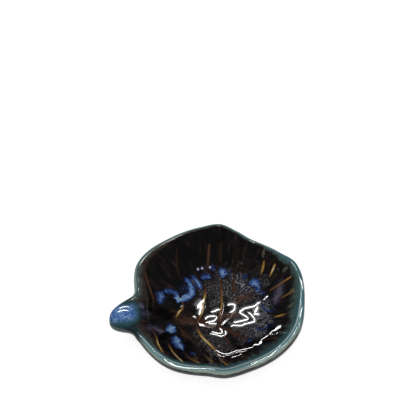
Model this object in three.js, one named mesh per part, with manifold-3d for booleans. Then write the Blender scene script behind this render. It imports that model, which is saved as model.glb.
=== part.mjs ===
// Tea bag dish: a hand-built stoneware leaf with a stem to hold it by.
// Millimetres, +Z up. The leaf's stem points along -X and the dish rests on its foot ring.
import * as THREE from "three";
import { ParametricGeometry } from "three/addons/geometries/ParametricGeometry.js";
import { mergeVertices } from "three/addons/utils/BufferGeometryUtils.js";
import Module from "manifold-3d";

// Leaf slab, pressed into a bowl
const LEAF_RADIUS = 45; // middle of the leaf to its edge, before the lobes
const WALL = 4.5; // slab thickness, its edge is rounded over all of it
const EDGE_HEIGHT = 23.5; // table to the middle of the slab at the edge
const FLOOR_RADIUS = 22; // floor, before the wall turns up
const FLOOR_DISH = 0.9; // rise of the floor's top from its middle to FLOOR_RADIUS
const DISH_REACH = 25; // middle of the leaf to where the dish starts to die away
const DISH_FADE = 13; // length that it dies away over, up the wall
const WALL_EASE_RATIO = 1.2; // how far the wall leans back out at the edge, 2 is level
const EDGE_RUN_OUT = 4; // how soon the slope dies away past the edge

// Lobes of the edge: bearing in degrees, then reach past LEAF_RADIUS and lift of the edge in units
const LOBE_UNIT = 1; // mm
const LOBES = [
  { bearing: 14, reach: 1.6, lift: 0.6 },
  { bearing: 28, reach: -1.7, lift: 0 },
  { bearing: 50, reach: -4, lift: -0.8 },
  { bearing: 64, reach: -2, lift: 0 },
  { bearing: 76, reach: 0.8, lift: 0.9 },
  { bearing: 90, reach: 0.4, lift: 0.3 },
  { bearing: 112, reach: 1.2, lift: 0 },
  { bearing: 141, reach: 4.2, lift: 0.6 },
  { bearing: 163, reach: 0.2, lift: 0 },
  { bearing: 193, reach: 3.5, lift: 0 },
  { bearing: 198, reach: 2.9, lift: 0 },
  { bearing: 221, reach: 1.8, lift: 0.4 },
  { bearing: 247, reach: -2.2, lift: -0.3 },
  { bearing: 260, reach: -1.4, lift: 0.2 },
  { bearing: 279, reach: -2.5, lift: -0.3 },
  { bearing: 320, reach: 0.2, lift: 0.4 },
  { bearing: 345, reach: -0.3, lift: 0 },
];

// Stem, a rolled lug drawn out of the edge
const STEM_BEARING = 177.5; // degrees, a little to the back of the leaf's long axis
const STEM_LENGTH = 12.6; // past the leaf's edge
const STEM_WIDTH = 15.7; // half-way along
const STEM_THICKNESS = 10.5;
const STEM_DROP = 2.8; // its middle below the leaf's edge
const STEM_ROUND = 8; // radius its flanks and end are rounded over
const STEM_OUTLINE_POWER = 3; // of its outline: 2 is a soft bump, more is squarer
const STEM_BODY_POWER = 2; // of its thickness, the same way
const STEM_ROOT_IN = 10; // inside the leaf's edge, where the slab starts to thicken into it
const STEM_ROOT_OUT = 3; // outside the leaf's edge, where it has its full thickness
const SEAM_OFFSET = 1.2; // leaf's edge out to the seam where the stem is joined on

// Foot ring, a coil under the floor
const FOOT_HEIGHT = 3.5;
const FOOT_WIDTH = 5;
const FOOT_SETBACK = 1; // end of the flat floor to the outside of the coil
const FOOT_EDGE = 1; // rounding of its corners

// Veins, trailed lines of slip on the inside
const VEIN_WIDTH = 2;
const VEIN_HEIGHT = 0.7;
const MIDRIB_WIDTH = 3.2;
const MIDRIB_HEIGHT = 1;
const VEIN_TAPER = 6; // length its ends are drawn out over
const VEIN_SPACING = 0.6; // side vein's tip to the midrib's flank

// Joints: the thickness of wet clay between two pieces that are joined
const LUTE = 0.3;

// Vein lines on a leaf whose edge is the unit circle, stem along -X
const MIDRIB = [
  [-0.91, -0.05], [-0.72, -0.02], [-0.5, -0.02], [-0.27, -0.08],
  [-0.06, -0.2], [0.17, -0.39], [0.31, -0.56], [0.4, -0.72],
];
const BACK_VEINS = [
  [[-0.84, -0.04], [-0.79, 0.11], [-0.78, 0.33], [-0.75, 0.53]],
  [[-0.55, 0.03], [-0.4, 0.17], [-0.35, 0.38], [-0.38, 0.62], [-0.34, 0.83]],
  [[-0.27, -0.08], [-0.13, 0.2], [-0.09, 0.33], [0.01, 0.68], [0.07, 0.84]],
  [[-0.1, -0.18], [0.03, 0.03], [0.11, 0.36], [0.17, 0.68], [0.23, 0.82]],
  [[0.27, 0.2], [0.29, 0.38], [0.41, 0.62], [0.47, 0.76]],
  [[-0.06, -0.2], [0.15, -0.05], [0.36, 0.1], [0.68, 0.38], [0.73, 0.48]],
  [[0.7, 0.25], [0.76, 0.31], [0.82, 0.37]],
  [[0.66, 0.09], [0.77, 0.1], [0.88, 0.09]],
  [[0.74, -0.07], [0.81, -0.08], [0.89, -0.09]],
  [[0.63, -0.29], [0.7, -0.31], [0.78, -0.33]],
  [[0.24, -0.48], [0.4, -0.56], [0.58, -0.63]],
];
const FRONT_VEINS = [
  [[-0.84, -0.05], [-0.8, -0.22], [-0.8, -0.36], [-0.77, -0.5]],
  [[-0.69, -0.3], [-0.67, -0.46], [-0.6, -0.68]],
  [[-0.56, -0.46], [-0.52, -0.6], [-0.43, -0.76]],
  [[-0.53, 0], [-0.47, -0.16], [-0.38, -0.32], [-0.37, -0.58], [-0.28, -0.78]],
  [[-0.3, -0.07], [-0.27, -0.28], [-0.19, -0.5], [-0.17, -0.7], [-0.1, -0.88]],
  [[-0.08, -0.19], [-0.01, -0.38], [0.06, -0.58], [0.15, -0.88]],
];

// Fineness of the surfaces
const LEAF_COLUMNS = 108; // around the leaf
const LEAF_ROWS = 30; // under the floor, over the edge and back
const STEM_CROWDING_RATIO = 0.55; // share by which the columns close up towards the stem
const STEM_ROWS = 6; // how far out the rows wait before they follow the stem's outline
const FOOT_SEGMENTS = 48;
const FOOT_CORNER_SEGMENTS = 2;
const VEIN_SIDES = 6;
const VEIN_STEP = 3; // length of one facet along a vein
const TRIM_STEPS = 80;
const SLOPE_STEP = 0.05; // for slopes of the slab, mm
const TURN_STEP = 0.2; // for slopes of the outline, degrees

const GLAZE = { color: 0x1b2427, roughness: 0.18, metalness: 0 };
const COBALT_GLAZE = { color: 0x2f5596, roughness: 0.2, metalness: 0 };
const AMBER_GLAZE = { color: 0x9a6a2a, roughness: 0.2, metalness: 0 };
const BARE_CLAY = { color: 0xb39a7c, roughness: 0.9, metalness: 0 };

const { clamp, smoothstep, degToRad, radToDeg, euclideanModulo } = THREE.MathUtils;

// Smooth closed curve through one column of the lobes
function lobe(key, bearing) {
  const count = LOBES.length;
  const turn = euclideanModulo(bearing - LOBES[0].bearing, 360) + LOBES[0].bearing;
  let i = count - 1;
  while (LOBES[i].bearing > turn) {
    i -= 1;
  }
  const at = (k) => {
    const { bearing: b, [key]: value } = LOBES[euclideanModulo(k, count)];
    return { b: b + 360 * Math.floor(k / count), value };
  };
  const [p, q, r, s] = [i - 1, i, i + 1, i + 2].map(at);
  const span = r.b - q.b;
  const t = (turn - q.b) / span;
  const slopeQ = ((r.value - p.value) / (r.b - p.b)) * span;
  const slopeR = ((s.value - q.value) / (s.b - q.b)) * span;
  const rise = t * t * (3 - 2 * t);
  const bend = t * (1 - t);
  const curve = q.value * (1 - rise) + r.value * rise + bend * ((1 - t) * slopeQ - t * slopeR);
  return LOBE_UNIT * curve;
}

const leafRadius = (bearing) => LEAF_RADIUS + lobe("reach", bearing);

// How far a bearing belongs to the stem, 1 along its middle and a half at its flanks
const STEM_HALF_ANGLE = radToDeg(Math.atan2(STEM_WIDTH / 2, LEAF_RADIUS + STEM_LENGTH / 2));
function stemShare(bearing, squareness) {
  const off = Math.abs(euclideanModulo(bearing - STEM_BEARING + 180, 360) - 180);
  return Math.pow(0.5, Math.pow(off / STEM_HALF_ANGLE, squareness));
}

function outlineRadius(bearing) {
  return leafRadius(bearing) + STEM_LENGTH * stemShare(bearing, STEM_OUTLINE_POWER);
}

const FLOOR_MIDDLE = FOOT_HEIGHT + LUTE + WALL / 2; // middle of the slab at the floor

// How far a point belongs to the thick of the stem
function stemBody(radius, bearing) {
  const edge = leafRadius(bearing);
  const root = smoothstep(radius, edge - STEM_ROOT_IN, edge + STEM_ROOT_OUT);
  return root * stemShare(bearing, STEM_BODY_POWER);
}

// Height of the middle of the slab
function middle(x, y) {
  const radius = Math.hypot(x, y);
  const bearing = radToDeg(Math.atan2(y, x));
  const run = leafRadius(bearing) - FLOOR_RADIUS;
  const rise = EDGE_HEIGHT + lobe("lift", bearing) - FLOOR_MIDDLE;
  const ease = WALL_EASE_RATIO + (2 - WALL_EASE_RATIO) * stemShare(bearing, STEM_BODY_POWER);
  const t = clamp((radius - FLOOR_RADIUS) / run, 0, 1);
  const past = Math.max(radius - FLOOR_RADIUS - run, 0);
  const slope = (rise * (2 - ease)) / run;
  const wall = rise * t * t * (1 + ease - ease * t);
  const lip = slope * EDGE_RUN_OUT * (1 - Math.exp(-past / EDGE_RUN_OUT));
  return FLOOR_MIDDLE + wall + lip - STEM_DROP * stemBody(radius, bearing);
}

// Unit vector square to the slab
function square(x, y) {
  const fallX = middle(x - SLOPE_STEP, y) - middle(x + SLOPE_STEP, y);
  const fallY = middle(x, y - SLOPE_STEP) - middle(x, y + SLOPE_STEP);
  return new THREE.Vector3(fallX, fallY, 2 * SLOPE_STEP).normalize();
}

// Half the slab's thickness, rounded off towards the outline
function halfThickness(x, y, tilt) {
  const radius = Math.hypot(x, y);
  const bearing = radToDeg(Math.atan2(y, x));
  const outline = outlineRadius(bearing);
  const turn = outlineRadius(bearing + TURN_STEP) - outlineRadius(bearing - TURN_STEP);
  const skew = Math.hypot(1, turn / (2 * degToRad(TURN_STEP) * outline));
  const body = stemBody(radius, bearing);
  const half = (WALL + (STEM_THICKNESS - WALL) * body) / 2;
  const round = WALL / 2 + (STEM_ROUND - WALL / 2) * body;
  const t = clamp((outline - radius) / (skew * tilt * round), 0, 1);
  return half * Math.sqrt(t * (2 - t));
}

// Extra thickness on the floor's top, which makes it a shallow dish
function dishRise(x, y) {
  const radius = Math.hypot(x, y);
  const fade = 1 - smoothstep(radius, DISH_REACH, DISH_REACH + DISH_FADE);
  return FLOOR_DISH * Math.pow(radius / FLOOR_RADIUS, 2) * fade;
}

// Point on the slab's top (side 1) or underside (side -1), or a height above it
function onSlab(x, y, side, height, target) {
  const normal = square(x, y);
  const half = halfThickness(x, y, normal.z);
  const top = side > 0 ? dishRise(x, y) : 0;
  return target.set(x, y, middle(x, y)).addScaledVector(normal, side * half + top + height);
}

// Closed solid from a surface that meets itself around u and closes up at both ends of v.
// Each four-sided facet is split along its shorter diagonal.
function closedSurface(surface, slices, stacks) {
  const skin = new ParametricGeometry(surface, slices, stacks);
  skin.deleteAttribute("normal");
  skin.deleteAttribute("uv");
  const solid = mergeVertices(skin);
  const place = (i) => new THREE.Vector3().fromBufferAttribute(solid.attributes.position, i);
  const span = (i, j) => place(i).distanceTo(place(j));
  const corners = [];
  for (let i = 0; i < solid.index.count; i += 6) {
    const [a, b, d, , c] = solid.index.array.slice(i, i + 6);
    const turned = span(a, c) < span(b, d);
    const halves = turned ? [[a, b, c], [a, c, d]] : [[a, b, d], [b, c, d]];
    for (const half of halves) {
      if (new Set(half).size === 3) {
        corners.push(...half);
      }
    }
  }
  solid.setIndex(corners);
  solid.computeVertexNormals();
  return solid;
}

// The whole leaf with its stem, as one slab
function leafSlab() {
  const surface = (u, v, target) => {
    const crowding = (STEM_CROWDING_RATIO * Math.sin(2 * Math.PI * u)) / (2 * Math.PI);
    const bearing = 360 * (u + crowding);
    const share = Math.sin(Math.PI * v);
    const stem = outlineRadius(bearing) - leafRadius(bearing);
    const radius = leafRadius(bearing) * share + stem * Math.pow(share, STEM_ROWS);
    const x = radius * Math.cos(degToRad(bearing));
    const y = radius * Math.sin(degToRad(bearing));
    onSlab(x, y, v < 0.5 ? -1 : 1, 0, target);
  };
  return closedSurface(surface, LEAF_COLUMNS, LEAF_ROWS);
}

// Line of a vein in plan, from points on the unit leaf
function veinLine(points) {
  const places = points.map(([x, y]) => {
    const radius = leafRadius(radToDeg(Math.atan2(y, x)));
    return new THREE.Vector3(x * radius, y * radius, 0);
  });
  return new THREE.CatmullRomCurve3(places, false, "catmullrom");
}

// Share of a line that has to be left off for it to stop short of the midrib
function startShare(line, midrib, clear) {
  const rib = midrib.getSpacedPoints(TRIM_STEPS);
  for (let i = 0; i <= TRIM_STEPS; i += 1) {
    const place = line.getPointAt(i / TRIM_STEPS);
    if (Math.min(...rib.map((p) => p.distanceTo(place))) > clear) {
      return i / TRIM_STEPS;
    }
  }
  return 0;
}

// Half-round trail of slip along a line, its flat side a lute above the leaf
function trail(line, start, width, height) {
  const length = line.getLength() * (1 - start);
  const surface = (u, v, target) => {
    const along = (1 - Math.cos(Math.PI * v)) / 2;
    const share = start + (1 - start) * along;
    const place = line.getPointAt(share);
    const heading = line.getTangentAt(share);
    const t = clamp((Math.min(along, 1 - along) * length) / VEIN_TAPER, 0, 1);
    const taper = Math.sqrt(t * (2 - t));
    const turn = u === 1 ? 0 : Math.min(1, (u * VEIN_SIDES) / (VEIN_SIDES - 1));
    const across = (Math.cos(Math.PI * turn) * taper * width) / 2;
    const up = Math.sin(Math.PI * turn) * taper * height;
    const x = place.x - heading.y * across;
    const y = place.y + heading.x * across;
    onSlab(x, y, 1, LUTE + up, target);
  };
  return closedSurface(surface, VEIN_SIDES, Math.ceil(length / VEIN_STEP));
}

// Coil under the floor, from its rounded profile
function footRing() {
  const profile = new THREE.Path();
  const outer = FLOOR_RADIUS - FOOT_SETBACK;
  const inner = outer - FOOT_WIDTH;
  profile.moveTo(outer - FOOT_EDGE, 0);
  profile.absarc(outer - FOOT_EDGE, FOOT_EDGE, FOOT_EDGE, -Math.PI / 2, 0);
  profile.lineTo(outer, FOOT_HEIGHT);
  profile.lineTo(inner, FOOT_HEIGHT);
  profile.absarc(inner + FOOT_EDGE, FOOT_EDGE, FOOT_EDGE, -Math.PI, -Math.PI / 2);
  profile.closePath();
  const points = profile.getPoints(FOOT_CORNER_SEGMENTS);
  const ring = new THREE.LatheGeometry(points, FOOT_SEGMENTS);
  ring.rotateX(Math.PI / 2);
  return ring;
}

const wasm = await Module();
wasm.setup();

// Solid that can be cut, from a closed geometry
function toSolid(geometry) {
  const mesh = new wasm.Mesh({
    numProp: 3,
    vertProperties: new Float32Array(geometry.attributes.position.array),
    triVerts: new Uint32Array(geometry.index.array),
  });
  return new wasm.Manifold(mesh);
}

function toGeometry(solid) {
  const mesh = solid.getMesh();
  const geometry = new THREE.BufferGeometry();
  geometry.setAttribute("position", new THREE.BufferAttribute(mesh.vertProperties, 3));
  geometry.setIndex(new THREE.BufferAttribute(mesh.triVerts, 1));
  geometry.computeVertexNormals();
  return geometry;
}

// Block on the stem's side of the seam, moved along the stem by a shift
function stemSide(shift) {
  const [length, width, height] = [4 * STEM_LENGTH, 2 * STEM_WIDTH, 4 * EDGE_HEIGHT];
  const block = new THREE.BoxGeometry(length, width, height);
  const seam = leafRadius(STEM_BEARING) + SEAM_OFFSET + shift;
  block.translate(seam + length / 2, 0, 0);
  block.rotateZ(degToRad(STEM_BEARING));
  block.deleteAttribute("normal");
  block.deleteAttribute("uv");
  return toSolid(mergeVertices(block));
}

const dish = new THREE.Group();
dish.name = "tea_bag_dish";

function add(name, geometry, finish) {
  const mesh = new THREE.Mesh(geometry, new THREE.MeshStandardMaterial(finish));
  mesh.name = name;
  dish.add(mesh);
}

const slab = toSolid(leafSlab());
add("leaf_bowl", toGeometry(slab.subtract(stemSide(-LUTE / 2))), GLAZE);
add("stem_handle", toGeometry(slab.intersect(stemSide(LUTE / 2))), COBALT_GLAZE);
add("foot_ring", footRing(), BARE_CLAY);

const midrib = veinLine(MIDRIB);
add("midrib", trail(midrib, 0, MIDRIB_WIDTH, MIDRIB_HEIGHT), AMBER_GLAZE);

function addVeins(side, veins) {
  veins.forEach((points, i) => {
    const line = veinLine(points);
    const start = startShare(line, midrib, MIDRIB_WIDTH / 2 + VEIN_SPACING);
    add(`${side}_vein_${i + 1}`, trail(line, start, VEIN_WIDTH, VEIN_HEIGHT), AMBER_GLAZE);
  });
}
addVeins("back", BACK_VEINS);
addVeins("front", FRONT_VEINS);

// The part's origin is under the middle of its box, on the table
const box = new THREE.Box3().setFromObject(dish);
const centre = box.getCenter(new THREE.Vector3());
dish.position.set(-centre.x, -centre.y, -box.min.z);

const part = new THREE.Group();
part.add(dish);

export default part;
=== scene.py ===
"""Tea bag dish: a glazed stoneware leaf with a stem, dressed around its CAD frame."""

import logging
import math
from collections.abc import Callable
from dataclasses import dataclass, field
from enum import Enum
from functools import partial

import bmesh
import bpy
import numpy as np
from mathutils import Matrix, Vector


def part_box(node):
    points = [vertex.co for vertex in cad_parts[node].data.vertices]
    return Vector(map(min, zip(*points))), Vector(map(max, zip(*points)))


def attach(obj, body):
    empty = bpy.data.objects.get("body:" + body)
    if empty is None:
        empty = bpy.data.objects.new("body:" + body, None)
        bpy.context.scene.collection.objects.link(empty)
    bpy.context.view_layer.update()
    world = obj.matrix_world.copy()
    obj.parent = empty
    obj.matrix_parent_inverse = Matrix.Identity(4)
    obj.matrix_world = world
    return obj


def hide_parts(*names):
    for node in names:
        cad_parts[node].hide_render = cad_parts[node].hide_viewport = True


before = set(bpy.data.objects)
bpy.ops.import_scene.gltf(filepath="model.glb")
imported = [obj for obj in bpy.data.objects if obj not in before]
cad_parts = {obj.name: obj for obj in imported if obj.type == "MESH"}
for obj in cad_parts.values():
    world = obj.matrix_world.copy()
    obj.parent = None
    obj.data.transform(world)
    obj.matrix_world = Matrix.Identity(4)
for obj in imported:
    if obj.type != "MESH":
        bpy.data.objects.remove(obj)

MM = 0.001
BODY = "root"
LOG = logging.getLogger("tea_bag_dish")

Array = np.ndarray
Colour = tuple[float, float, float, float]
Socket = bpy.types.NodeSocket
Stops = tuple[tuple[float, str], ...]


def linear(code: str) -> Colour:
    """Turn an sRGB hex value into a linear colour.

    Args:
        code: Six hex digits, such as "5d7f7b".

    Returns:
        Red, green, blue and alpha, with alpha 1.
    """
    parts = [int(code[i : i + 2], 16) / 255 for i in (0, 2, 4)]
    bent = [p / 12.92 if p <= 0.04045 else ((p + 0.055) / 1.055) ** 2.4 for p in parts]
    return (bent[0], bent[1], bent[2], 1.0)


def add_node(
    tree: bpy.types.NodeTree, kind: str, inputs: dict | None = None, stops: Stops = (), **settings: object
) -> bpy.types.bpy_prop_collection:
    """Add one node with its settings and links.

    Args:
        tree: The node tree.
        kind: Blender's name for the node.
        inputs: Input name or number to a value, or to the socket that feeds it.
        stops: Places and hex values that fill a colour ramp.
        **settings: The node's own properties.

    Returns:
        The node's outputs.
    """
    made = tree.nodes.new(kind)
    for key, value in settings.items():
        setattr(made, key, value)
    for i, (place, code) in enumerate(stops):
        elements = made.color_ramp.elements
        element = elements[i] if i < len(elements) else elements.new(1.0)
        element.position = place
        element.color = linear(code)
    for key, value in (inputs or {}).items():
        socket = made.inputs[key]
        if isinstance(value, Socket):
            tree.links.new(value, socket)
        else:
            socket.default_value = value
    return made.outputs


def new_material(name: str) -> tuple[bpy.types.Material, Callable]:
    """Start a material.

    Args:
        name: What the material is.

    Returns:
        The material, and what adds a node to it.
    """
    made = bpy.data.materials.new(name)
    made.use_nodes = True
    made.node_tree.nodes.clear()
    return made, partial(add_node, made.node_tree)


class Side(Enum):
    """The two faces of the leaf slab."""

    INSIDE = 1.0
    UNDERSIDE = -1.0


class Stain(Enum):
    """What a stroke lays down on the leaf."""

    VEIN = "vein"
    RUST = "rust"
    FROST = "frost"
    MARBLE = "marble"
    MAUVE = "mauve"
    COBALT = "cobalt"
    LILAC = "lilac"
    ASH = "ash"
    LEVEL = "level"


class Grain(Enum):
    """Patterns in the glaze: size in millimetres, detail and roughness of the noise."""

    RUNS = (1.0, 3.0, 0.5)
    CLOUDS = (6.0, 4.0, 0.5)
    BLOTCH = (2.4, 3.0, 0.5)
    GRIT = (0.9, 3.0, 0.5)
    DUST = (0.8, 2.0, 0.6)
    SWIRL = (9.0, 1.5, 0.5)


Ease = tuple[float, float]
Grains = dict[Grain, Socket]
Shares = tuple[tuple[Grain, float], ...]


@dataclass(frozen=True)
class Lobe:
    """One lobe or dip of the leaf's edge, in degrees and millimetres."""

    bearing: float
    reach: float
    lift: float


@dataclass(frozen=True)
class Stroke:
    """A line on a leaf whose edge is the unit circle.

    Each point is x, y and, where it isn't 1, the strength there. width is in
    millimetres, and ridge is the height of a vein as a share of the highest.
    """

    points: tuple[tuple[float, ...], ...]
    width: float
    ridge: float = 0.0


@dataclass(frozen=True)
class Coat:
    """How one stain shows in the glaze, over the coats before it.

    The stain fades out between inner and outer, in half widths of its strokes.
    ragged breaks up its edge and mottle its tone, which stops turns into a
    colour. specks keeps it to where a grain passes from one level to another.
    """

    stain: Stain
    stops: Stops
    inner: float = 0.3
    outer: float = 1.3
    cover: float = 1.0
    ragged: Shares = ()
    mottle: Shares = ()
    specks: tuple[Grain, float, float] | None = None


@dataclass(frozen=True)
class Band:
    """A band of colour along the leaf's edge.

    Its depth in from the edge is stretched from narrow, where the leaf's turn
    towards lean is start, to wide, where it's 1. It fades out from one depth to
    another, its colours run from span outside the edge to span inside it, and
    grains break it up.
    """

    stops: Stops
    lean: tuple[float, float, float]
    narrow: float
    wide: float
    fade: Ease
    start: float
    ragged: Shares = ()
    span: float = 8.0


@dataclass
class LeafForm:
    """Shape of the leaf slab and its stem, in millimetres from the leaf's middle."""

    centre: tuple[float, float]
    radius: float = 45.0
    wall: float = 4.5
    edge_height: float = 23.5
    floor_radius: float = 22.0
    floor_dish: float = 0.9
    dish_reach: float = 25.0
    dish_fade: float = 13.0
    wall_ease: float = 1.2
    run_out: float = 4.0
    foot_height: float = 3.5
    lute: float = 0.3
    stem_bearing: float = 177.5
    stem_length: float = 12.6
    stem_width: float = 15.7
    stem_thickness: float = 10.5
    stem_drop: float = 2.8
    stem_round: float = 8.0
    outline_power: float = 3.0
    body_power: float = 2.0
    root_in: float = 10.0
    root_out: float = 3.0
    seam_offset: float = 1.2
    slope_step: float = 0.05
    turn_step: float = 0.2
    lobes: tuple[Lobe, ...] = (
        Lobe(14, 1.6, 0.6),
        Lobe(28, -1.7, 0.0),
        Lobe(50, -4.0, -0.8),
        Lobe(64, -2.0, 0.0),
        Lobe(76, 0.8, 0.9),
        Lobe(90, 0.4, 0.3),
        Lobe(112, 1.2, 0.0),
        Lobe(141, 4.2, 0.6),
        Lobe(163, 0.2, 0.0),
        Lobe(193, 3.5, 0.0),
        Lobe(198, 2.9, 0.0),
        Lobe(221, 1.8, 0.4),
        Lobe(247, -2.2, -0.3),
        Lobe(260, -1.4, 0.2),
        Lobe(279, -2.5, -0.3),
        Lobe(320, 0.2, 0.4),
        Lobe(345, -0.3, 0.0),
    )

    def lobe(self, values: list[float], bearing: Array) -> Array:
        """Smooth closed curve through one value per lobe.

        Args:
            values: One value per lobe.
            bearing: Bearings in degrees.

        Returns:
            The value at each bearing.
        """
        turn = np.array([lobe.bearing for lobe in self.lobes], float)
        knots = np.concatenate([turn - 360, turn, turn + 360])
        heights = np.tile(np.array(values, float), 3)
        slopes = np.zeros(len(knots))
        slopes[1:-1] = (heights[2:] - heights[:-2]) / (knots[2:] - knots[:-2])
        at = np.mod(bearing, 360.0)
        i = np.searchsorted(knots, at, side="right") - 1
        span = knots[i + 1] - knots[i]
        t = (at - knots[i]) / span
        rise = t * t * (3 - 2 * t)
        bend = t * (1 - t) * span * ((1 - t) * slopes[i] - t * slopes[i + 1])
        return heights[i] * (1 - rise) + heights[i + 1] * rise + bend

    def leaf_radius(self, bearing: Array) -> Array:
        """Reach of the leaf's edge without the stem."""
        return self.radius + self.lobe([lobe.reach for lobe in self.lobes], bearing)

    def stem_share(self, bearing: Array, power: float) -> Array:
        """How far a bearing belongs to the stem.

        Args:
            bearing: Bearings in degrees.
            power: How steeply the share falls off.

        Returns:
            1 along the stem, and a half at its flanks.
        """
        half = math.degrees(math.atan2(self.stem_width / 2, self.radius + self.stem_length / 2))
        off = np.abs(np.mod(bearing - self.stem_bearing + 180, 360) - 180)
        return 0.5 ** ((off / half) ** power)

    def outline(self, bearing: Array) -> Array:
        """Reach of the outline, stem included."""
        return self.leaf_radius(bearing) + self.stem_length * self.stem_share(bearing, self.outline_power)

    def stem_body(self, reach: Array, bearing: Array) -> Array:
        """How far a point belongs to the thick of the stem.

        Args:
            reach: Distances from the leaf's middle.
            bearing: Bearings in degrees.

        Returns:
            0 on the leaf, to 1 in the stem.
        """
        past = reach - self.leaf_radius(bearing) + self.root_in
        t = np.clip(past / (self.root_in + self.root_out), 0, 1)
        return t * t * (3 - 2 * t) * self.stem_share(bearing, self.body_power)

    def middle(self, x: Array, y: Array) -> Array:
        """Height of the middle of the slab.

        Args:
            x: Places along the leaf.
            y: Places across the leaf.

        Returns:
            One height per place.
        """
        reach = np.hypot(x, y)
        bearing = np.degrees(np.arctan2(y, x))
        floor = self.foot_height + self.lute + self.wall / 2
        run = self.leaf_radius(bearing) - self.floor_radius
        rise = self.edge_height + self.lobe([lobe.lift for lobe in self.lobes], bearing) - floor
        ease = self.wall_ease + (2 - self.wall_ease) * self.stem_share(bearing, self.body_power)
        t = np.clip((reach - self.floor_radius) / run, 0, 1)
        past = np.maximum(reach - self.floor_radius - run, 0)
        wall = rise * t * t * (1 + ease - ease * t)
        lip = rise * (2 - ease) / run * self.run_out * (1 - np.exp(-past / self.run_out))
        return floor + wall + lip - self.stem_drop * self.stem_body(reach, bearing)

    def dish_rise(self, x: Array, y: Array) -> Array:
        """Rise of the dished floor, which fades out on the wall.

        Args:
            x: Places along the leaf.
            y: Places across the leaf.

        Returns:
            One rise per place.
        """
        reach = np.hypot(x, y)
        t = np.clip((reach - self.dish_reach) / self.dish_fade, 0, 1)
        return self.floor_dish * (reach / self.floor_radius) ** 2 * (1 - t * t * (3 - 2 * t))

    def edge_distance(self, x: Array, y: Array) -> Array:
        """Distance in plan from a point to the outline.

        Args:
            x: Places along the leaf.
            y: Places across the leaf.

        Returns:
            One distance per place.
        """
        reach = np.hypot(x, y)
        bearing = np.degrees(np.arctan2(y, x))
        line = self.outline(bearing)
        turn = self.outline(bearing + self.turn_step) - self.outline(bearing - self.turn_step)
        skew = np.hypot(1, turn / (2 * math.radians(self.turn_step) * line))
        return np.maximum(line - reach, 0) / skew

    def skin(self, x: Array, y: Array, side: Array | float) -> Array:
        """Points on the slab's faces.

        Args:
            x: Places along the leaf.
            y: Places across the leaf.
            side: 1 for the inside and -1 for the underside.

        Returns:
            One point per place, in millimetres from the leaf's middle.
        """
        step = self.slope_step
        fall_x = self.middle(x - step, y) - self.middle(x + step, y)
        fall_y = self.middle(x, y - step) - self.middle(x, y + step)
        normal = np.stack([fall_x, fall_y, np.full_like(fall_x, 2 * step)], -1)
        normal /= np.linalg.norm(normal, axis=-1, keepdims=True)
        body = self.stem_body(np.hypot(x, y), np.degrees(np.arctan2(y, x)))
        half = (self.wall + (self.stem_thickness - self.wall) * body) / 2
        round_off = self.wall / 2 + (self.stem_round - self.wall / 2) * body
        t = np.clip(self.edge_distance(x, y) / (normal[..., 2] * round_off), 0, 1)
        offset = side * half * np.sqrt(t * (2 - t)) + np.maximum(side, 0) * self.dish_rise(x, y)
        return np.stack([x, y, self.middle(x, y)], -1) + normal * offset[..., None]

    def to_frame(self, points: Array) -> Array:
        """Millimetres from the leaf's middle to metres in the shared frame."""
        return (points + np.array([self.centre[0], self.centre[1], 0.0])) * MM

    def place(self, unit: Array) -> Array:
        """Points on the unit leaf to millimetres in plan."""
        bearing = np.degrees(np.arctan2(unit[:, 1], unit[:, 0]))
        return unit * self.leaf_radius(bearing)[:, None]


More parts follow.
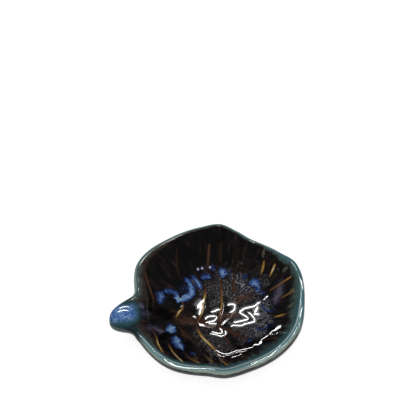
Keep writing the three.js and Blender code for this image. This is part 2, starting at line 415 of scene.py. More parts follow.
VEINS = (
    Stroke(
        ((-0.91, -0.05, 0.1), (-0.72, -0.02, 0.05), (-0.5, -0.01, 0.3), (-0.27, -0.08, 0.35),
         (-0.06, -0.2, 0.3), (0.17, -0.39, 0.3), (0.31, -0.56, 0.1), (0.4, -0.72, 0.1)),
        2.4, 0.4,
    ),
    Stroke(((-0.84, -0.04, 0.0), (-0.79, 0.11, 0.1), (-0.78, 0.33, 0.5), (-0.75, 0.53, 0.4)), 1.5, 0.5),
    Stroke(
        ((-0.55, 0.03, 0.6), (-0.47, 0.1, 0.95), (-0.4, 0.17, 0.4), (-0.35, 0.38, 0.0), (-0.38, 0.62, 0.25),
         (-0.34, 0.83, 0.2)),
        1.5, 0.6,
    ),
    Stroke(
        ((-0.27, -0.08, 0.25), (-0.2, 0.04, 0.85), (-0.13, 0.2, 0.95), (-0.09, 0.33, 0.35),
         (-0.04, 0.52, 0.1), (0.01, 0.68, 0.4), (0.07, 0.84, 0.4)),
        1.5, 0.7,
    ),
    Stroke(
        ((-0.1, -0.18, 0.1), (0.03, 0.03, 0.7), (0.07, 0.17, 0.65), (0.11, 0.36, 0.35), (0.13, 0.5, 0.0),
         (0.17, 0.68, 0.2), (0.23, 0.82, 0.25)),
        1.5, 0.7,
    ),
    Stroke(((0.27, 0.2, 0.3), (0.29, 0.38, 0.4), (0.41, 0.62, 0.2), (0.47, 0.76, 0.15)), 1.5, 0.4),
    Stroke(
        ((-0.06, -0.2, 0.15), (0.15, -0.05, 0.1), (0.36, 0.1, 0.1), (0.6, 0.3, 0.0), (0.68, 0.38, 0.8),
         (0.73, 0.48, 0.7)),
        1.6, 0.3,
    ),
    Stroke(((0.7, 0.25, 0.4), (0.76, 0.31), (0.82, 0.37, 0.8)), 1.5, 0.6),
    Stroke(((0.66, 0.085, 0.45), (0.8, 0.1, 0.7), (0.92, 0.1, 0.85)), 1.3, 0.7),
    Stroke(((0.75, -0.08, 0.45), (0.84, -0.085, 0.7), (0.93, -0.09, 0.8)), 1.3, 0.6),
    Stroke(((0.63, -0.29, 0.5), (0.7, -0.31, 0.85), (0.78, -0.33, 0.5)), 1.5, 0.6),
    Stroke(((0.24, -0.48, 0.15), (0.4, -0.56, 0.2), (0.58, -0.63, 0.35)), 1.5, 0.5),
    Stroke(((-0.84, -0.05, 0.0), (-0.8, -0.22, 0.45), (-0.8, -0.36, 0.95), (-0.77, -0.5, 0.75)), 1.5, 0.6),
    Stroke(((-0.69, -0.3, 0.0), (-0.67, -0.46, 0.85), (-0.6, -0.68)), 1.5, 0.6),
    Stroke(((-0.56, -0.46, 0.0), (-0.52, -0.6, 0.5), (-0.43, -0.76, 0.95)), 1.5, 0.6),
    Stroke(
        ((-0.53, 0.0, 0.1), (-0.47, -0.16, 0.3), (-0.38, -0.32, 0.25), (-0.37, -0.58, 0.15),
         (-0.28, -0.78, 0.85)),
        1.5, 0.5,
    ),
    Stroke(
        ((-0.3, -0.07, 0.1), (-0.27, -0.28, 0.9), (-0.19, -0.5, 0.8), (-0.17, -0.7, 0.45),
         (-0.1, -0.88, 0.8)),
        1.6, 0.8,
    ),
    Stroke(((-0.08, -0.19, 0.35), (-0.01, -0.38, 0.35), (0.06, -0.58, 0.2), (0.15, -0.88, 0.3)), 1.5, 0.5),
)

RUST = (
    Stroke(((-0.6, 0.0, 0.3), (-0.53, 0.0, 0.8), (-0.285, -0.07), (-0.145, -0.145), (-0.02, -0.2)), 6.0),
    Stroke(((-0.03, -0.155, 0.9), (0.0, -0.11), (0.04, -0.08), (0.12, -0.08), (0.21, -0.085, 0.8)), 4.0),
    Stroke(
        ((0.2, 0.03, 0.7), (0.215, 0.06, 0.9), (0.29, 0.105), (0.36, 0.1, 0.9), (0.445, 0.09, 0.7)),
        4.0,
    ),
    Stroke(((-0.06, -0.2), (0.05, -0.29, 0.9), (0.17, -0.39, 0.8)), 3.6),
    Stroke(((-0.01, -0.42, 0.7), (0.01, -0.46, 0.7)), 3.4),
    Stroke(((-0.49, -0.16, 0.7), (-0.44, -0.22, 0.8), (-0.38, -0.27, 0.6)), 4.0),
    Stroke(((0.27, 0.2, 0.7), (0.29, 0.38, 0.6)), 3.0),
    Stroke(((0.38, 0.57, 0.4), (0.46, 0.56, 0.5), (0.56, 0.47, 0.4)), 1.6),
    Stroke(((0.5, -0.58, 0.35), (0.6, -0.62, 0.3)), 3.0),
    Stroke(((-0.93, -0.07, 0.9), (-0.86, -0.06, 0.7)), 2.6),
)

FROST = (
    Stroke(((-0.1, 0.3, 0.6), (0.15, 0.3, 0.8), (0.36, 0.24, 0.9), (0.45, 0.06, 0.7)), 20.0),
    Stroke(((0.1, -0.1, 0.5), (0.28, -0.25, 0.6), (0.2, -0.45, 0.5)), 18.0),
    Stroke(((-0.3, -0.2, 0.4), (-0.12, -0.42, 0.5), (0.0, -0.55, 0.4)), 16.0),
)

MARBLE = (
    Stroke(((0.26, 0.55, 0.4), (0.3, 0.43, 0.6), (0.37, 0.3, 0.7), (0.46, 0.2, 0.6)), 5.0),
    Stroke(
        ((0.6, 0.02, 0.55), (0.56, -0.1, 0.8), (0.52, -0.22, 0.75), (0.48, -0.35, 0.75),
         (0.38, -0.44, 0.7)),
        13.0,
    ),
)

MAUVE = (
    Stroke(((0.81, 0.14, 0.6), (0.77, 0.04), (0.72, -0.06), (0.7, -0.12, 0.7)), 7.0),
    Stroke(((-0.935, 0.17), (-0.905, 0.09)), 4.5),
    Stroke(((-0.93, 0.02, 0.6), (-0.84, 0.03, 0.5)), 5.0),
    Stroke(((-0.89, -0.15, 0.6), (-0.8, -0.13, 0.8), (-0.7, -0.15)), 4.0),
)

COBALT = (
    Stroke(((-0.73, 0.2, 0.5), (-0.69, 0.27, 0.7), (-0.63, 0.335, 0.65)), 4.4),
    Stroke(((-0.6, 0.35, 0.5), (-0.52, 0.35, 0.5), (-0.46, 0.33, 0.6), (-0.42, 0.28, 0.8)), 3.0),
    Stroke(((-0.445, 0.23), (-0.425, 0.29, 0.9)), 3.6),
    Stroke(
        ((-0.445, 0.24), (-0.37, 0.24, 0.95), (-0.28, 0.255, 0.9), (-0.24, 0.3, 0.9), (-0.25, 0.38, 0.8),
         (-0.285, 0.46, 0.65), (-0.315, 0.51, 0.4)),
        3.6,
    ),
    Stroke(((-0.38, 0.33, 0.14), (-0.32, 0.36, 0.16), (-0.31, 0.43, 0.14)), 6.0),
    Stroke(((-0.23, 0.545, 0.45), (-0.195, 0.485, 0.65), (-0.16, 0.415, 0.85), (-0.145, 0.34, 0.65)), 2.8),
    Stroke(((-0.11, 0.48, 0.5), (-0.05, 0.475, 0.55), (0.0, 0.46, 0.45)), 3.2),
    Stroke(((0.15, 0.44, 0.7), (0.165, 0.5), (0.155, 0.57, 0.5)), 4.0),
    Stroke(((0.165, 0.505, 0.8), (0.23, 0.5, 0.5)), 3.2),
    Stroke(((0.06, 0.56, 0.4), (0.06, 0.64, 0.3)), 2.7),
    Stroke(((0.45, 0.42, 0.4), (0.5, 0.43, 0.4)), 4.0),
    Stroke(((0.5, 0.31, 0.65), (0.56, 0.27, 0.85), (0.565, 0.22, 0.65)), 3.4),
    Stroke(((0.57, 0.19, 0.6), (0.5, 0.15, 0.6)), 3.4),
    Stroke(((0.54, 0.1, 0.5), (0.61, 0.1, 0.45)), 2.0),
    Stroke(((-0.66, -0.13, 0.85), (-0.62, -0.12), (-0.57, -0.1, 0.85)), 4.9),
    Stroke(((-0.585, -0.24, 0.8), (-0.58, -0.33), (-0.555, -0.43, 0.9)), 4.4),
    Stroke(((-0.47, -0.52, 0.4), (-0.44, -0.57, 0.35)), 3.4),
    Stroke(((0.265, -0.5, 0.5), (0.29, -0.51, 0.5)), 3.6),
    Stroke(((0.53, -0.03, 0.25), (0.56, -0.11, 0.32), (0.61, -0.18, 0.32), (0.69, -0.2, 0.25)), 1.4),
    Stroke(((0.37, -0.29, 0.25), (0.41, -0.37, 0.32), (0.47, -0.39, 0.32), (0.58, -0.35, 0.25)), 1.4),
)

LILAC = (
    Stroke(((-0.14, 0.61), (-0.13, 0.63)), 2.2),
    Stroke(((-0.085, 0.615), (-0.08, 0.635)), 2.2),
    Stroke(((0.02, 0.61), (0.025, 0.63)), 2.2),
)

ASH = (
    Stroke(((0.76, 0.6, 0.4), (0.74, 0.55, 0.7), (0.72, 0.5, 0.5)), 1.5),
    Stroke(((0.83, 0.21, 0.5), (0.87, 0.23, 0.7), (0.9, 0.23, 0.5)), 2.2),
    Stroke(((0.82, 0.29, 0.6), (0.79, 0.27, 0.4)), 1.8),
    Stroke(((0.86, -0.06, 0.6), (0.9, -0.06, 0.8), (0.93, -0.05, 0.6)), 1.8),
    Stroke(((0.88, -0.16, 0.6), (0.92, -0.14, 0.6)), 1.8),
    Stroke(((0.81, -0.26, 0.6), (0.85, -0.25, 0.8), (0.88, -0.25, 0.6)), 1.8),
    Stroke(((0.79, -0.35, 0.5), (0.82, -0.35, 0.5)), 1.8),
    Stroke(((0.45, 0.2, 0.9), (0.46, 0.17, 0.8)), 2.2),
    Stroke(((-0.24, 0.5, 0.7), (-0.21, 0.44, 0.7), (-0.19, 0.38, 0.6)), 0.9),
)

LEVEL = (
    Stroke(((-0.14, 0.18), (-0.17, 0.15), (-0.2, 0.13), (-0.24, 0.1)), 2.6),
    Stroke(((-0.17, 0.13), (-0.21, 0.08), (-0.23, 0.04), (-0.24, 0.01)), 1.5),
    Stroke(((-0.32, 0.01), (-0.29, 0.0), (-0.28, -0.02)), 0.9),
    Stroke(((-0.1, 0.02), (-0.05, 0.02), (-0.01, 0.03), (0.02, 0.03)), 1.2),
    Stroke(((-0.18, -0.06), (-0.16, -0.04), (-0.12, -0.03), (-0.08, -0.04), (-0.05, -0.04)), 1.0),
    Stroke(
        ((-0.05, -0.04), (-0.05, -0.07), (-0.07, -0.09), (-0.09, -0.1), (-0.13, -0.1), (-0.19, -0.1)),
        0.9,
    ),
    Stroke(((-0.16, -0.12), (-0.12, -0.13), (-0.07, -0.16)), 1.1),
    Stroke(
        ((0.12, 0.06), (0.14, 0.07), (0.17, 0.06), (0.19, 0.05), (0.19, 0.02), (0.18, -0.01), (0.16, -0.03),
         (0.12, -0.04)),
        1.2,
    ),
    Stroke(
        ((0.52, 0.01), (0.46, -0.01), (0.42, -0.03), (0.34, -0.03), (0.3, -0.03), (0.26, -0.05),
         (0.23, -0.06)),
        1.2,
    ),
    Stroke(((0.23, -0.06), (0.26, -0.1), (0.29, -0.13), (0.31, -0.16), (0.31, -0.18)), 1.0),
    Stroke(((0.31, -0.18), (0.27, -0.18), (0.21, -0.18), (0.17, -0.18), (0.13, -0.18)), 1.1),
    Stroke(
        ((0.09, -0.23), (0.12, -0.22), (0.21, -0.24), (0.26, -0.23), (0.35, -0.23), (0.38, -0.22),
         (0.38, -0.18), (0.37, -0.15), (0.36, -0.12), (0.33, -0.09)),
        1.0,
    ),
    Stroke(((0.39, -0.13), (0.43, -0.14), (0.46, -0.16)), 1.6),
    Stroke(((0.46, -0.04), (0.45, -0.07), (0.43, -0.09), (0.41, -0.12)), 1.8),
    Stroke(
        ((-0.05, -0.22), (-0.04, -0.24), (-0.03, -0.27), (-0.04, -0.29), (-0.08, -0.29), (-0.12, -0.27),
         (-0.16, -0.24)),
        0.75,
    ),
    Stroke(
        ((-0.18, -0.26), (-0.15, -0.28), (-0.1, -0.31), (-0.06, -0.33), (-0.02, -0.33), (0.01, -0.31),
         (0.01, -0.29), (0.0, -0.27)),
        0.75,
    ),
    Stroke(((0.57, 0.01), (0.6, 0.02), (0.63, 0.03), (0.65, 0.04)), 1.1),
    Stroke(
        ((-0.19, -0.54), (-0.16, -0.57), (-0.13, -0.61), (-0.09, -0.64), (-0.03, -0.66), (0.07, -0.65),
         (0.16, -0.66), (0.26, -0.66), (0.3, -0.65)),
        0.9,
    ),
    Stroke(((0.3, -0.65), (0.32, -0.62), (0.35, -0.64), (0.38, -0.63), (0.4, -0.61), (0.4, -0.58)), 1.2),
    Stroke(((0.385, -0.63), (0.4, -0.58)), 3.0),
    Stroke(((0.4, -0.58), (0.43, -0.56), (0.47, -0.54), (0.51, -0.52), (0.55, -0.49), (0.58, -0.47)), 0.9),
    Stroke(((0.56, -0.48), (0.6, -0.475), (0.64, -0.46), (0.65, -0.48)), 3.0),
    Stroke(((-0.2, -0.64), (-0.16, -0.67), (-0.12, -0.69), (-0.08, -0.7)), 0.7),
    Stroke(((-0.1, -0.66), (-0.05, -0.69), (0.0, -0.69), (0.09, -0.69), (0.14, -0.7), (0.2, -0.7)), 0.7),
    Stroke(((-0.04, -0.76), (-0.01, -0.75), (0.04, -0.75), (0.09, -0.75), (0.14, -0.74)), 0.7),
    Stroke(((0.51, -0.52), (0.54, -0.53), (0.58, -0.55), (0.61, -0.53)), 0.6),
    Stroke(((0.61, -0.53), (0.63, -0.55), (0.66, -0.59), (0.68, -0.6), (0.71, -0.62)), 0.6),
    Stroke(((-0.07, -0.83), (-0.06, -0.84)), 0.8),
    Stroke(((-1.16, 0.16), (-1.11, 0.17), (-1.06, 0.16), (-1.03, 0.14)), 0.8),
    Stroke(((-1.18, 0.11), (-1.13, 0.12), (-1.1, 0.12), (-1.06, 0.1), (-1.03, 0.08)), 0.8),
    Stroke(((-0.97, 0.28), (-0.98, 0.26), (-0.97, 0.24)), 0.6),
    Stroke(((0.98, 0.05), (0.99, -0.01), (0.99, -0.07), (0.99, -0.13)), 0.8),
    Stroke(((0.94, -0.33), (0.9, -0.4), (0.86, -0.48)), 0.55),
    Stroke(((0.84, -0.52), (0.82, -0.56), (0.8, -0.6)), 0.55),
    Stroke(
        ((-0.78, -0.58), (-0.73, -0.66), (-0.67, -0.72), (-0.6, -0.775), (-0.53, -0.815), (-0.41, -0.875),
         (-0.27, -0.925)),
        0.5,
    ),
    Stroke(
        ((0.15, -0.95), (0.22, -0.945), (0.285, -0.925), (0.41, -0.885), (0.505, -0.825), (0.58, -0.76)),
        0.5,
    ),
)

COATS = (
    Coat(
        Stain.FROST, ((0.0, "241f20"), (1.0, "3a3637")), inner=0.1, outer=1.7, cover=0.8,
        ragged=((Grain.CLOUDS, 3.0), (Grain.BLOTCH, 2.0)), mottle=((Grain.BLOTCH, 1.5),),
    ),
    Coat(
        Stain.FROST, ((0.0, "908e96"), (1.0, "cfd0d8")), inner=0.1, outer=1.5, cover=0.75,
        ragged=((Grain.CLOUDS, 4.0), (Grain.BLOTCH, 3.0)), mottle=((Grain.BLOTCH, 0.8),),
        specks=(Grain.DUST, 0.0, 0.25),
    ),
    Coat(
        Stain.MARBLE,
        ((0.1, "202a5c"), (0.3, "141319"), (0.5, "37363b"), (0.7, "5e5d60"), (1.0, "98979c")), inner=0.3,
        outer=1.4, cover=0.8, ragged=((Grain.CLOUDS, 2.5),),
        mottle=((Grain.SWIRL, 0.8), (Grain.BLOTCH, 0.8), (Grain.DUST, 0.8)),
    ),
    Coat(
        Stain.RUST, ((0.1, "1e1410"), (0.5, "40291f"), (1.0, "644636")), inner=0.2, outer=1.4, cover=0.9,
        ragged=((Grain.CLOUDS, 1.5), (Grain.DUST, 5.0)), mottle=((Grain.BLOTCH, 1.5), (Grain.DUST, 3.0)),
    ),
    Coat(
        Stain.MAUVE, ((0.0, "201f2c"), (0.5, "47435e"), (1.0, "837a90")), inner=0.0, outer=1.5,
        cover=0.75, ragged=((Grain.RUNS, 2.0), (Grain.DUST, 3.0)),
        mottle=((Grain.BLOTCH, 0.6), (Grain.DUST, 0.8)),
    ),
    Coat(
        Stain.VEIN,
        (
            (0.05, "1c1310"), (0.3, "422b20"), (0.5, "6b4a36"), (0.75, "a27a38"), (0.9, "c8a556"),
            (1.0, "f2e0b0"),
        ),
        inner=0.55, outer=1.35, ragged=((Grain.GRIT, 0.8),), mottle=((Grain.GRIT, 0.45),),
    ),
    Coat(
        Stain.COBALT,
        ((0.05, "0e1430"), (0.3, "24386f"), (0.5, "4064b8"), (0.75, "689ae0"), (1.0, "b0d2f4")),
        inner=0.1, outer=2.2, ragged=((Grain.RUNS, 2.0), (Grain.BLOTCH, 1.0), (Grain.DUST, 5.0)),
        mottle=((Grain.BLOTCH, 0.8), (Grain.DUST, 3.0)),
    ),
    Coat(
        Stain.ASH, ((0.0, "3c4038"), (1.0, "8c8d78")), inner=0.1, outer=1.6, cover=0.7,
        ragged=((Grain.RUNS, 2.0), (Grain.GRIT, 1.5)), mottle=((Grain.GRIT, 1.0),),
    ),
    Coat(
        Stain.LILAC, ((0.0, "a8a2dc"), (1.0, "dcd8ff")), inner=0.7, outer=1.3,
        ragged=((Grain.GRIT, 0.6),),
    ),
)

BANDS = (
    Band(
        ((0.5, "7a8f86"), (0.6, "5a675f"), (0.72, "443d39"), (0.87, "604b42"), (1.0, "42312b")),
        lean=(-1.0, -0.1, 0.0), narrow=0.2, wide=1.0, fade=(6.5, 3.0),
        ragged=((Grain.CLOUDS, 3.0), (Grain.RUNS, 5.0)), start=0.2,
    ),
    Band(
        ((0.5, "5a868b"), (0.6, "4d7478"), (0.72, "4e6866"), (0.87, "4b554f"), (1.0, "3a3a32")),
        lean=(0.4, -0.8, 0.0), narrow=0.15, wide=1.35, fade=(8.0, 3.0),
        ragged=((Grain.CLOUDS, 3.0), (Grain.RUNS, 9.0), (Grain.DUST, 4.0)), start=-0.2,
    ),
    # Front band: its near-white line from 0.663 to 0.68 is partly glaze broken pale over the crest and
    # partly a painted highlight
    Band(
        (
            (0.0, "191311"), (0.49, "1f1815"), (0.503, "2e2722"), (0.507, "98a094"), (0.516, "b2beb0"),
            (0.54, "acc2b8"), (0.555, "8cb4b2"), (0.6, "78a8ae"), (0.65, "78a8ae"), (0.663, "f4f9f7"),
            (0.68, "f4f9f7"), (0.692, "bcd6d6"), (0.71, "6c9ca3"), (0.78, "3f6d76"),
        ),
        lean=(0.0, -1.0, 0.0), narrow=0.1, wide=1.0, fade=(6.5, 4.0), ragged=((Grain.CLOUDS, 0.4),),
        start=-0.05,
    ),
    Band(
        ((0.499, "1f1815"), (0.505, "3f7282"), (0.55, "4f8898")), lean=(1.0, 0.0, 0.0), narrow=0.001,
        wide=0.3, fade=(2.5, 1.2), start=0.75,
    ),
)


def stirred(node: Callable, value: Socket | float, grains: Grains, shares: Shares) -> Socket | float:
    """Stir grains into a value.

    Args:
        node: Adds a node to the glaze.
        value: The value.
        grains: The glaze's patterns.
        shares: The grains to stir in, with the share of each.

    Returns:
        The value with the grains.
    """
    for grain, share in shares:
        value = node("ShaderNodeMath", {0: grains[grain], 1: share, 2: value}, operation="MULTIPLY_ADD")[0]
    return value


@dataclass(frozen=True)
class LeafGlaze:
    """Glossy stoneware glaze that breaks amber on the veins and pools cobalt.

    It was poured and brushed on in layers and fired, so thick glaze is nearly
    black, the rim where it ran thin is celadon teal, and the whole surface is
    glass-smooth with sharp highlights. Lengths are in millimetres, and each ease
    says where something begins to show and where it shows fully.
    """

    centre: tuple[float, float]
    thick: Stops = ((0.35, "0b0a0c"), (0.52, "131012"), (0.64, "261d1a"), (0.78, "42312a"))
    thick_mottle: Shares = ((Grain.RUNS, 1.0), (Grain.BLOTCH, 0.25), (Grain.DUST, 0.3))
    bands: tuple[Band, ...] = BANDS
    coats: tuple[Coat, ...] = COATS
    strength_ease: Ease = (0.05, 0.3)
    run_spread: float = 11.0
    run_draw: float = 0.08
    contour_turns: float = 90.0
    stem_dark: str = "22363c"
    stem_teal: str = "3b636d"
    stem_blue: Stops = ((0.25, "385ca2"), (0.45, "5d90da"), (0.6, "84b2f0"), (0.8, "bcd8ff"))
    stem_mottle: Shares = ((Grain.BLOTCH, 0.6), (Grain.GRIT, 1.4))
    stem_ragged: Shares = ((Grain.CLOUDS, 0.4),)
    stem_edge_ragged: Shares = ((Grain.BLOTCH, 2.0),)
    front_flank_shade_tilt: float = 0.5
    dark_eases: tuple[Ease, Ease] = ((-43.0, -47.0), (-16.0, -15.0))
    teal_eases: tuple[Ease, Ease] = ((0.3, 0.6), (-4.0, 0.5))
    blue_eases: tuple[Ease, Ease] = ((0.5, 0.85), (-0.5, 4.0))
    stem_lean: tuple[float, float, float] = (0.22, -0.4, 0.0)
    stem_lean_ease: Ease = (0.1, 0.5)
    pool_bend: float = 0.00148
    floor_slope: float = 0.08
    floor_slope_ease: Ease = (7.0, 20.0)
    low_place: tuple[float, float, float] = (-9.0, 5.4, 0.0)
    crest: Ease = (0.9, 0.35)
    crest_ragged: Shares = ((Grain.GRIT, 0.3),)
    halo: Ease = (5.0, 0.3)
    haze: float = 0.38
    haze_roughness: float = 0.2
    peel_strength: float = 0.25
    peel_height: float = 0.02
    roughness: float = 0.08
    ior: float = 1.52

    def material(self) -> bpy.types.Material:
        """Build the glaze.

        Returns:
            The material.
        """
        made, node = new_material("poured_stoneware_glaze")
        place = node("ShaderNodeTexCoord")["Object"]
        middle = (self.centre[0] * MM, self.centre[1] * MM, 0.0)
        place = node("ShaderNodeVectorMath", {0: place, 1: middle}, operation="SUBTRACT")[0]
        place = node("ShaderNodeVectorMath", {0: place, "Scale": 1 / MM}, operation="SCALE")[0]
        flat = node("ShaderNodeVectorMath", {0: place, 1: (1.0, 1.0, 0.0)}, operation="MULTIPLY")[0]
        grains = self.grains(node, place, flat)
        tone = stirred(node, 0.5, grains, self.thick_mottle)
        colour = node("ShaderNodeValToRGB", {"Fac": tone}, stops=self.thick)["Color"]
        colour = self.rimmed(node, colour, flat, grains)
        colour = self.stemmed(node, colour, flat, grains)
        for coat in self.coats:
            colour = self.coated(node, colour, coat, grains)
        glow = node("ShaderNodeAttribute", attribute_name=Stain.LEVEL.value)["Fac"]
        glow = node(
            "ShaderNodeMapRange",
            {"Value": glow, "From Min": self.halo[0], "From Max": self.halo[1], "To Max": self.haze},
            interpolation_type="SMOOTHSTEP",
        )["Result"]
        surface = node(
            "ShaderNodeBsdfPrincipled",
            {
                "Base Color": colour,
                "Roughness": self.roughness,
                "IOR": self.ior,
                "Normal": self.waves(node, flat, grains, self.crest),
                "Coat Weight": glow,
                "Coat Roughness": self.haze_roughness,
                "Coat Normal": self.waves(node, flat, grains, self.halo),
            },
        )["BSDF"]
        node("ShaderNodeOutputMaterial", {"Surface": surface})
        return made

    def grains(self, node: Callable, place: Socket, flat: Socket) -> Grains:
        """Make the patterns that break the glaze up.

        Args:
            node: Adds a node to the glaze.
            place: Place in millimetres from the leaf's middle.
            flat: The same place in plan.

        Returns:
            Each grain, from -0.5 to 0.5.
        """
        ray = node("ShaderNodeVectorMath", {0: flat}, operation="NORMALIZE")[0]
        ray = node("ShaderNodeVectorMath", {0: ray, "Scale": self.run_spread}, operation="SCALE")[0]
        # Drawn out down the wall, about 3 mm wide and 12 mm long
        drawn = (self.run_draw, self.run_draw, self.run_draw)
        long = node("ShaderNodeVectorMath", {0: place, 1: drawn, 2: ray}, operation="MULTIPLY_ADD")[0]
        made = {}
        for grain in Grain:
            size, detail, rough = grain.value
            noise = node(
                "ShaderNodeTexNoise",
                {
                    "Vector": long if grain is Grain.RUNS else place,
                    "Scale": 1 / size,
                    "Detail": detail,
                    "Roughness": rough,
                },
            )["Fac"]
            made[grain] = node("ShaderNodeMath", {0: noise, 1: 0.5}, operation="SUBTRACT")[0]
        # Contour lines about a millimetre apart
        turns = {0: made[Grain.SWIRL], 1: self.contour_turns}
        lines = node("ShaderNodeMath", turns, operation="MULTIPLY")[0]
        lines = node("ShaderNodeMath", {0: lines}, operation="SINE")[0]
        made[Grain.SWIRL] = node("ShaderNodeMath", {0: lines, 1: 0.5}, operation="MULTIPLY")[0]
        return made

    def coated(self, node: Callable, colour: Socket, coat: Coat, grains: Grains) -> Socket:
        """Lay one coat over the colour.

        Args:
            node: Adds a node to the glaze.
            colour: The colour so far.
            coat: The coat.
            grains: The glaze's patterns.

        Returns:
            The colour with the coat.
        """
        away = node("ShaderNodeAttribute", attribute_name=coat.stain.value)["Fac"]
        strength = node("ShaderNodeAttribute", attribute_name=f"{coat.stain.value}_strength")["Fac"]
        away = stirred(node, away, grains, coat.ragged)
        near = node(
            "ShaderNodeMapRange",
            {"Value": away, "From Min": coat.outer, "From Max": coat.inner},
            interpolation_type="SMOOTHSTEP",
        )["Result"]
        tone = node("ShaderNodeMath", {0: near, 1: strength}, operation="MULTIPLY")[0]
        tone = stirred(node, tone, grains, coat.mottle)
        shade = node("ShaderNodeValToRGB", {"Fac": tone}, stops=coat.stops)["Color"]
        begin, full = self.strength_ease
        shown = node(
            "ShaderNodeMapRange",
            {"Value": strength, "From Min": begin, "From Max": full, "To Max": coat.cover},
        )["Result"]
        shown = node("ShaderNodeMath", {0: shown, 1: near}, operation="MULTIPLY")[0]
        if coat.specks:
            grain, low, high = coat.specks
            speck = node(
                "ShaderNodeMapRange",
                {"Value": grains[grain], "From Min": low, "From Max": high},
                interpolation_type="SMOOTHSTEP",
            )["Result"]
            shown = node("ShaderNodeMath", {0: shown, 1: speck}, operation="MULTIPLY")[0]
        return node("ShaderNodeMix", {"Factor": shown, 6: colour, 7: shade}, data_type="RGBA")[2]

    def rimmed(self, node: Callable, colour: Socket, flat: Socket, grains: Grains) -> Socket:
        """Lay the teal rim, where the glaze ran off the edge, with a near-white line along the front of its
        crest that is partly glaze broken pale and partly a painted highlight.

        Args:
            node: Adds a node to the glaze.
            colour: The colour so far.
            flat: Place in plan, in millimetres from the leaf's middle.
            grains: The glaze's patterns.

        Returns:
            The colour with the rim.
        """
        edge = node("ShaderNodeAttribute", attribute_name="edge")["Fac"]
        ray = node("ShaderNodeVectorMath", {0: flat}, operation="NORMALIZE")[0]
        inward = node("ShaderNodeMath", {0: edge, 1: 0.0}, operation="MAXIMUM")[0]
        outward = node("ShaderNodeMath", {0: edge, 1: 0.0}, operation="MINIMUM")[0]
        for band in self.bands:
            turn = node("ShaderNodeVectorMath", {0: ray, 1: band.lean}, operation="DOT_PRODUCT")["Value"]
            wide = node(
                "ShaderNodeMapRange",
                {"Value": turn, "From Min": band.start, "To Min": band.narrow, "To Max": band.wide},
            )["Result"]
            depth = node("ShaderNodeMath", {0: inward, 1: wide}, operation="DIVIDE")[0]
            depth = node("ShaderNodeMath", {0: depth, 1: outward}, operation="ADD")[0]
            depth = stirred(node, depth, grains, band.ragged)
            along = node(
                "ShaderNodeMapRange",
                {"Value": depth, "From Min": -band.span, "From Max": band.span},
            )["Result"]
            shade = node("ShaderNodeValToRGB", {"Fac": along}, stops=band.stops)["Color"]
            shown = node(
                "ShaderNodeMapRange",
                {"Value": depth, "From Min": band.fade[0], "From Max": band.fade[1]},
                interpolation_type="SMOOTHSTEP",
            )["Result"]
            colour = node("ShaderNodeMix", {"Factor": shown, 6: colour, 7: shade}, data_type="RGBA")[2]
        return colour

    def stemmed(self, node: Callable, colour: Socket, flat: Socket, grains: Grains) -> Socket:
        """Lay the stem's mottled blue, with dark teal where it turns under, which reaches further up the
        front flank as painted shade.

        Args:
            node: Adds a node to the glaze.
            colour: The colour so far.
            flat: Place in plan, in millimetres from the leaf's middle.
            grains: The glaze's patterns.

        Returns:
            The colour with the stem.
        """
        stem = node("ShaderNodeAttribute", attribute_name="stem")["Fac"]
        edge = node("ShaderNodeAttribute", attribute_name="edge")["Fac"]
        spot = node("ShaderNodeSeparateXYZ", {0: flat})
        stem = stirred(node, stem, grains, self.stem_ragged)
        # Painted shade: the blue gives way to dark teal sooner on the front flank than on the back
        tilted = {0: spot["Y"], 1: self.front_flank_shade_tilt, 2: edge}
        edge = node("ShaderNodeMath", tilted, operation="MULTIPLY_ADD")[0]
        edge = stirred(node, edge, grains, self.stem_edge_ragged)
        tone = stirred(node, 0.5, grains, self.stem_mottle)
        blue = node("ShaderNodeValToRGB", {"Fac": tone}, stops=self.stem_blue)["Color"]
        for shade, reach, (reach_ease, edge_ease) in (
            (linear(self.stem_dark), spot["X"], self.dark_eases),
            (linear(self.stem_teal), stem, self.teal_eases),
            (blue, stem, self.blue_eases),
        ):
            within = node(
                "ShaderNodeMapRange",
                {"Value": reach, "From Min": reach_ease[0], "From Max": reach_ease[1]},
                interpolation_type="SMOOTHSTEP",
            )["Result"]
            shown = node(
                "ShaderNodeMapRange",
                {"Value": edge, "From Min": edge_ease[0], "From Max": edge_ease[1], "To Max": within},
                interpolation_type="SMOOTHSTEP",
            )["Result"]
            colour = node("ShaderNodeMix", {"Factor": shown, 6: colour, 7: shade}, data_type="RGBA")[2]
        return colour

    def waves(self, node: Callable, flat: Socket, grains: Grains, reach: Ease) -> Socket:
        """Lean the surface as the glaze's shallow waves do.

        The waves' crests lie level as still water does and mirror the window.
        Between them the floor falls a little towards one low place.

        Args:
            node: Adds a node to the glaze.
            flat: Place in plan, in millimetres from the leaf's middle.
            grains: The glaze's patterns.
            reach: Where a crest begins and where it's level, in half widths.

        Returns:
            The normal, with the glaze's fine peel.
        """
        level = node("ShaderNodeAttribute", attribute_name=Stain.LEVEL.value)["Fac"]
        level = stirred(node, level, grains, self.crest_ragged)
        level = node(
            "ShaderNodeMapRange",
            {"Value": level, "From Min": reach[0], "From Max": reach[1]},
            interpolation_type="SMOOTHSTEP",
        )["Result"]
        crest = node("ShaderNodeVectorMath", {0: flat, "Scale": -self.pool_bend}, operation="SCALE")[0]
        crest = node("ShaderNodeVectorMath", {0: crest, 1: (0.0, 0.0, 1.0)}, operation="ADD")[0]
        lean = node("ShaderNodeVectorMath", {0: flat, 1: self.low_place}, operation="SUBTRACT")[0]
        lean = node("ShaderNodeVectorMath", {0: lean}, operation="NORMALIZE")[0]
        edge = node("ShaderNodeAttribute", attribute_name="edge")["Fac"]
        begin, full = self.floor_slope_ease
        fade = node(
            "ShaderNodeMapRange",
            {"Value": edge, "From Min": begin, "From Max": full, "To Max": -self.floor_slope},
            interpolation_type="SMOOTHSTEP",
        )["Result"]
        lean = node("ShaderNodeVectorMath", {0: lean, "Scale": fade}, operation="SCALE")[0]
        stem = node("ShaderNodeAttribute", attribute_name="stem")["Fac"]
        begin, full = self.stem_lean_ease
